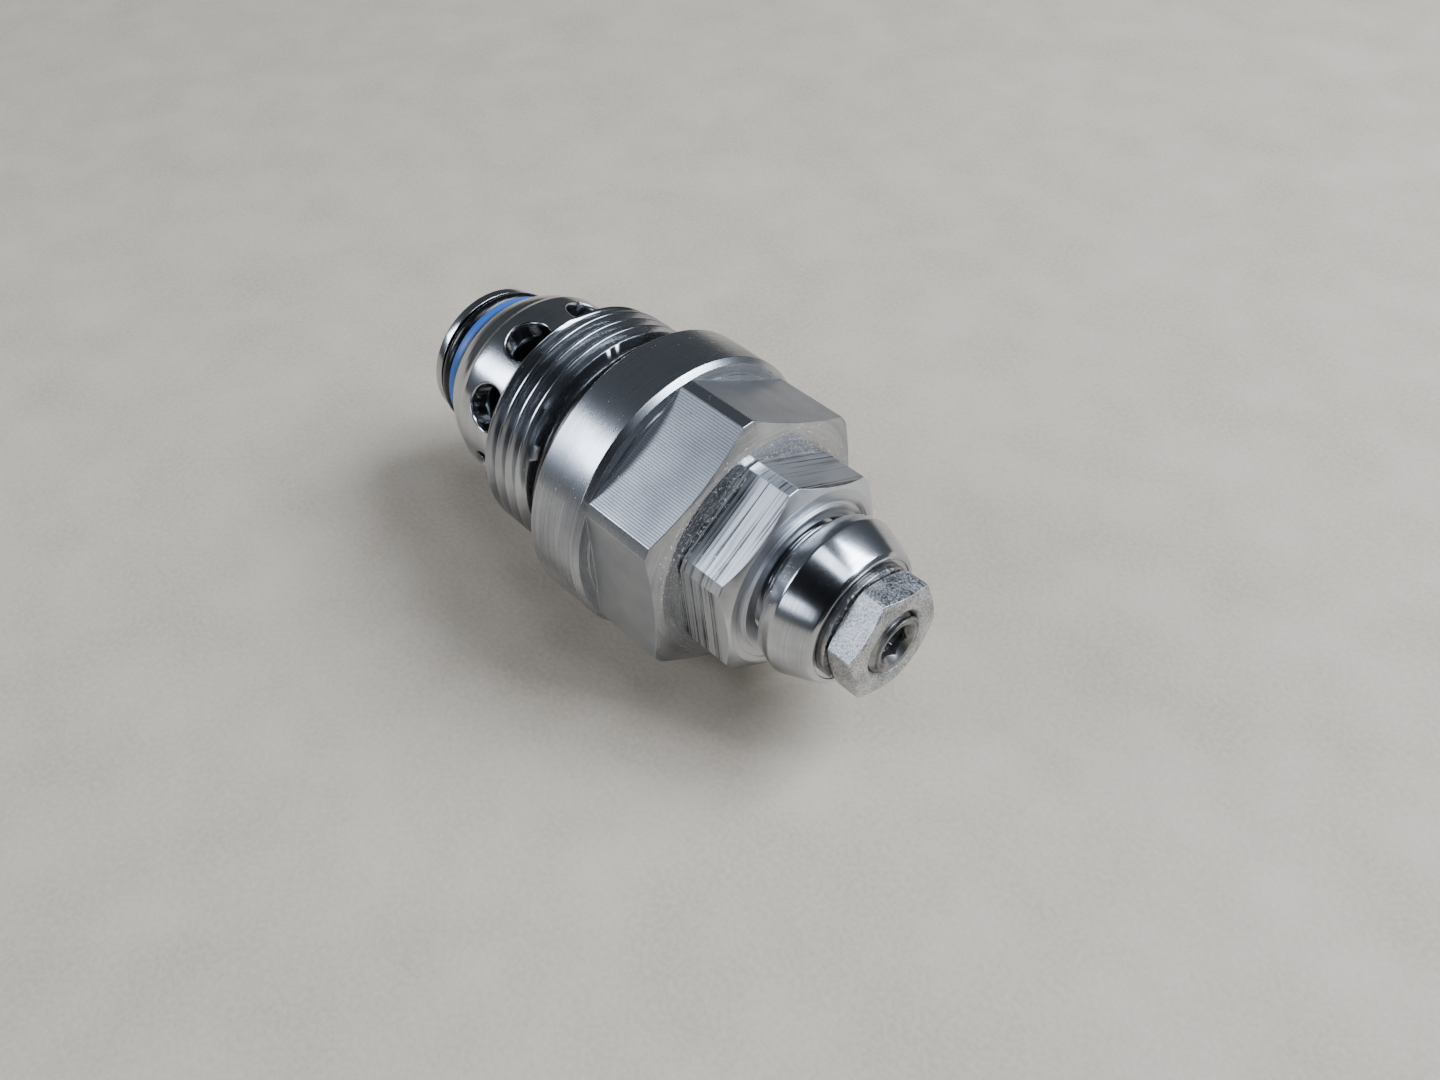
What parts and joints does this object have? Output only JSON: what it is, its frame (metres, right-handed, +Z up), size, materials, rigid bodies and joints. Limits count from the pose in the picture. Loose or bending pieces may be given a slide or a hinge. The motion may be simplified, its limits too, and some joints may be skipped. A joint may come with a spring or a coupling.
{
  "type": "cartridge valve",
  "caption": "Screw-in hydraulic relief cartridge with a hex body, side outlet holes, sealed nose, and an adjusting plug and set screw, each held by a lock nut.",
  "frame": {"origin": "on the valve's axis, in the collar's back face, which seats on the manifold", "axes": "+X along the valve's axis from the nose towards the adjuster, +Z up through a corner of the body's hexagon, as the valve lies on a bench; -X is the way it screws into the manifold"},
  "size_m": [0.0745, 0.0374, 0.0372],
  "materials": {
    "turned_steel": "turned bar steel, fine circular tool marks",
    "ground_steel": "hardened steel, ground and bright",
    "hardened_steel": "hardened and ground tool steel",
    "spring_steel": "drawn spring wire, dark and lightly oiled",
    "polished_steel": "polished steel with faint turning lines",
    "milled_steel": "milled flats with coarse cutter lines",
    "etched_steel": "grainy satin steel",
    "screw_steel": "plain steel, slightly oily",
    "black_rubber": "smooth nitrile rubber, oiled",
    "blue_backup_ring": "blue filled PTFE, satin",
    "seal_plastic": "natural polyamide"
  },
  "bodies": {
    "valve": {"valve_body": "turned_steel", "valve_sleeve": "ground_steel", "sleeve_retaining_ring": "spring_steel", "nose_o_ring": "black_rubber", "nose_backup_ring": "blue_backup_ring", "port_o_ring": "black_rubber", "pilot_seat": "hardened_steel", "pilot_seat_o_ring": "black_rubber", "main_spring": "spring_steel"},
    "poppet": {"main_poppet": "hardened_steel", "orifice_screw": "hardened_steel"},
    "pilot": {"pilot_cone": "hardened_steel"},
    "plug_seal": {"plug_o_ring": "black_rubber"},
    "plug": {"adjusting_plug": "polished_steel"},
    "plunger": {"spring_plunger": "hardened_steel", "plunger_o_ring": "black_rubber", "pilot_spring": "spring_steel"},
    "screw": {"set_screw": "screw_steel"},
    "thread_seal": {"lock_nut_seal": "seal_plastic"},
    "plug_nut": {"lock_nut": "milled_steel"},
    "washer": {"nut_seal_washer": "screw_steel"},
    "screw_nut": {"set_screw_nut": "etched_steel"}
  },
  "joints": [
    {"name": "poppet_lift", "type": "slide", "parent": "valve", "child": "poppet", "axis": [1, 0, 0], "range_m": [0, 0.004], "stiffness_N_per_m": 1500, "springref_m": -0.002, "deforming": ["main_spring"]},
    {"name": "pilot_lift", "type": "slide", "parent": "valve", "child": "pilot", "axis": [1, 0, 0], "range_m": [0, 0.0008], "stiffness_N_per_m": 200, "springref_m": -0.003},
    {"name": "plug_travel", "type": "slide", "parent": "valve", "child": "plug_seal", "axis": [1, 0, 0], "range_m": [-0.001, 0.0025]},
    {"name": "plug_turn", "type": "hinge", "parent": "plug_seal", "child": "plug", "pos_m": [0.02, 0, 0], "axis": [1, 0, 0], "range_deg": [-243, 606]},
    {"name": "plunger_travel", "type": "slide", "parent": "plug", "child": "plunger", "axis": [1, 0, 0], "range_m": [-0.00125, 0.00125], "deforming": ["pilot_spring"]},
    {"name": "screw_turn", "type": "hinge", "parent": "plunger", "child": "screw", "pos_m": [0.0355, 0, 0], "axis": [1, 0, 0], "range_deg": [-365, 365]},
    {"name": "plug_nut_travel", "type": "slide", "parent": "valve", "child": "thread_seal", "axis": [1, 0, 0], "range_m": [0, 0.0005]},
    {"name": "plug_nut_turn", "type": "hinge", "parent": "thread_seal", "child": "plug_nut", "pos_m": [0.0235, 0, 0], "axis": [1, 0, 0], "range_deg": [-1, 122]},
    {"name": "screw_nut_travel", "type": "slide", "parent": "plug", "child": "washer", "axis": [1, 0, 0], "range_m": [0, 0.00125]},
    {"name": "screw_nut_turn", "type": "hinge", "parent": "washer", "child": "screw_nut", "pos_m": [0.039, 0, 0], "axis": [1, 0, 0], "range_deg": [-3, 365]}
  ],
  "couplings": [
    {"joint": "plug_turn", "follows": "plug_travel", "rad_per_m": 4188.8},
    {"joint": "screw_turn", "follows": "plunger_travel", "rad_per_m": 5026.5},
    {"joint": "plug_nut_turn", "follows": "plug_nut_travel", "rad_per_m": 4188.8},
    {"joint": "screw_nut_turn", "follows": "screw_nut_travel", "rad_per_m": 5026.5}
  ]
}
